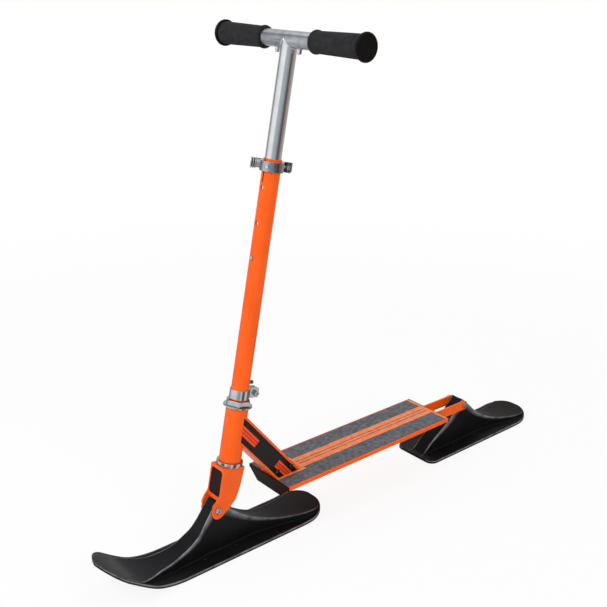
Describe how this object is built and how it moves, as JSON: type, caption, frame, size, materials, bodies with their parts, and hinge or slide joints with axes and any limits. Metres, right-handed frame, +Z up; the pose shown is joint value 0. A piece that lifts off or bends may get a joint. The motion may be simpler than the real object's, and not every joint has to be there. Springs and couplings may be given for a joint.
{
  "type": "snow scooter",
  "caption": "Kick scooter for snow: a stand-on deck on a pivoting rear ski and a steered, pivoting front ski, with a telescopic handlebar.",
  "frame": {"origin": "on the ground, under the middle of the overall length and on the centre plane", "axes": "+X forward, +Y to the rider's left, +Z up"},
  "size_m": [1.0326, 0.344, 0.8554],
  "materials": {
    "orange_paint": "gloss powder coat",
    "polished_aluminium": "polished",
    "satin_aluminium": "satin",
    "zinc_steel": "zinc plated",
    "spring_steel": "bare",
    "ski_plastic": "satin moulded",
    "black_plastic": "fine grain",
    "foam_rubber": "matte foam",
    "grit": "grit tape with printed stripes"
  },
  "bodies": {
    "frame": {"head_tube": "orange_paint", "lower_cup": "polished_aluminium", "lower_bearing": "spring_steel", "upper_bearing": "spring_steel", "neck": "orange_paint", "neck_bracket": "satin_aluminium", "neck_rivet_front": "satin_aluminium", "neck_rivet_rear": "satin_aluminium", "deck": "orange_paint", "deck_front_cap": "black_plastic", "deck_rear_cap": "black_plastic", "grip_tape": "grit", "left_rear_arm": "orange_paint", "right_rear_arm": "orange_paint", "rear_axle_bolt": "zinc_steel", "rear_axle_nut": "zinc_steel"},
    "steering": {"fork": "orange_paint", "fork_insert": "black_plastic", "crown_race": "zinc_steel", "top_washer": "polished_aluminium", "locknut": "polished_aluminium", "outer_tube": "orange_paint", "stop_screw": "zinc_steel", "pinch_collar": "polished_aluminium", "pinch_bolt": "zinc_steel", "pinch_nut": "zinc_steel", "clamp_collar": "polished_aluminium", "clamp_boss": "zinc_steel", "clamp_skewer": "zinc_steel", "clamp_spacer": "satin_aluminium", "front_axle_bolt": "zinc_steel", "front_axle_nut": "zinc_steel"},
    "front_ski_assembly": {"front_ski": "ski_plastic", "front_ski_sole": "black_plastic", "front_ski_bush": "black_plastic"},
    "rear_ski_assembly": {"rear_ski": "ski_plastic", "rear_ski_sole": "black_plastic", "rear_ski_bush": "black_plastic"},
    "handlebar_assembly": {"handlebar": "polished_aluminium", "height_spring": "spring_steel"},
    "left_handle": {"left_handle_tube": "satin_aluminium", "left_grip": "foam_rubber", "left_end_cap": "foam_rubber", "left_handle_spring": "spring_steel"},
    "right_handle": {"right_handle_tube": "satin_aluminium", "right_grip": "foam_rubber", "right_end_cap": "foam_rubber", "right_handle_spring": "spring_steel"},
    "height_lock_button": {"height_button": "zinc_steel"},
    "left_lock_button": {"left_handle_button": "zinc_steel"},
    "right_lock_button": {"right_handle_button": "zinc_steel"},
    "quick_release_lever": {"clamp_lever": "zinc_steel", "clamp_pin": "zinc_steel"},
    "quick_release_nut": {"clamp_nut": "satin_aluminium"}
  },
  "joints": [
    {"name": "steering_turn", "type": "hinge", "parent": "frame", "child": "steering", "pos_m": [0.271, 0, 0.07688], "axis": [-0.1951, 0, 0.9808], "range_deg": [-60, 60]},
    {"name": "front_ski_pitch", "type": "hinge", "parent": "steering", "child": "front_ski_assembly", "pos_m": [0.29425, 0, 0.0815], "axis": [0, 1, 0], "range_deg": [-25, 10]},
    {"name": "rear_ski_pitch", "type": "hinge", "parent": "frame", "child": "rear_ski_assembly", "pos_m": [-0.32225, 0, 0.0815], "axis": [0, 1, 0], "range_deg": [-20, 20]},
    {"name": "handlebar_height", "type": "slide", "parent": "steering", "child": "handlebar_assembly", "axis": [-0.1951, 0, 0.9808], "range_m": [0, 0.114]},
    {"name": "height_button_press", "type": "slide", "parent": "steering", "child": "height_lock_button", "axis": [-0.9808, 0, -0.1951], "range_m": [0, 0.003], "stiffness_N_per_m": 1500, "springref_m": -0.003},
    {"name": "left_handle_pull", "type": "slide", "parent": "handlebar_assembly", "child": "left_handle", "axis": [0, 1, 0], "range_m": [0, 0.05]},
    {"name": "right_handle_pull", "type": "slide", "parent": "handlebar_assembly", "child": "right_handle", "axis": [0, -1, 0], "range_m": [0, 0.05]},
    {"name": "left_button_press", "type": "slide", "parent": "handlebar_assembly", "child": "left_lock_button", "axis": [-0.1951, 0, 0.9808], "range_m": [0, 0.004], "stiffness_N_per_m": 1200, "springref_m": -0.003},
    {"name": "right_button_press", "type": "slide", "parent": "handlebar_assembly", "child": "right_lock_button", "axis": [-0.1951, 0, 0.9808], "range_m": [0, 0.004], "stiffness_N_per_m": 1200, "springref_m": -0.003},
    {"name": "quick_release_open", "type": "hinge", "parent": "steering", "child": "quick_release_lever", "pos_m": [0.12453, -0.00206, 0.63696], "axis": [0.1951, 0, -0.9808], "range_deg": [0, 110]},
    {"name": "quick_release_nut_turn", "type": "hinge", "parent": "steering", "child": "quick_release_nut", "pos_m": [0.16605, -0.03734, 0.64522], "axis": [-0.7535, 0.6401, -0.1499], "continuous": true}
  ]
}
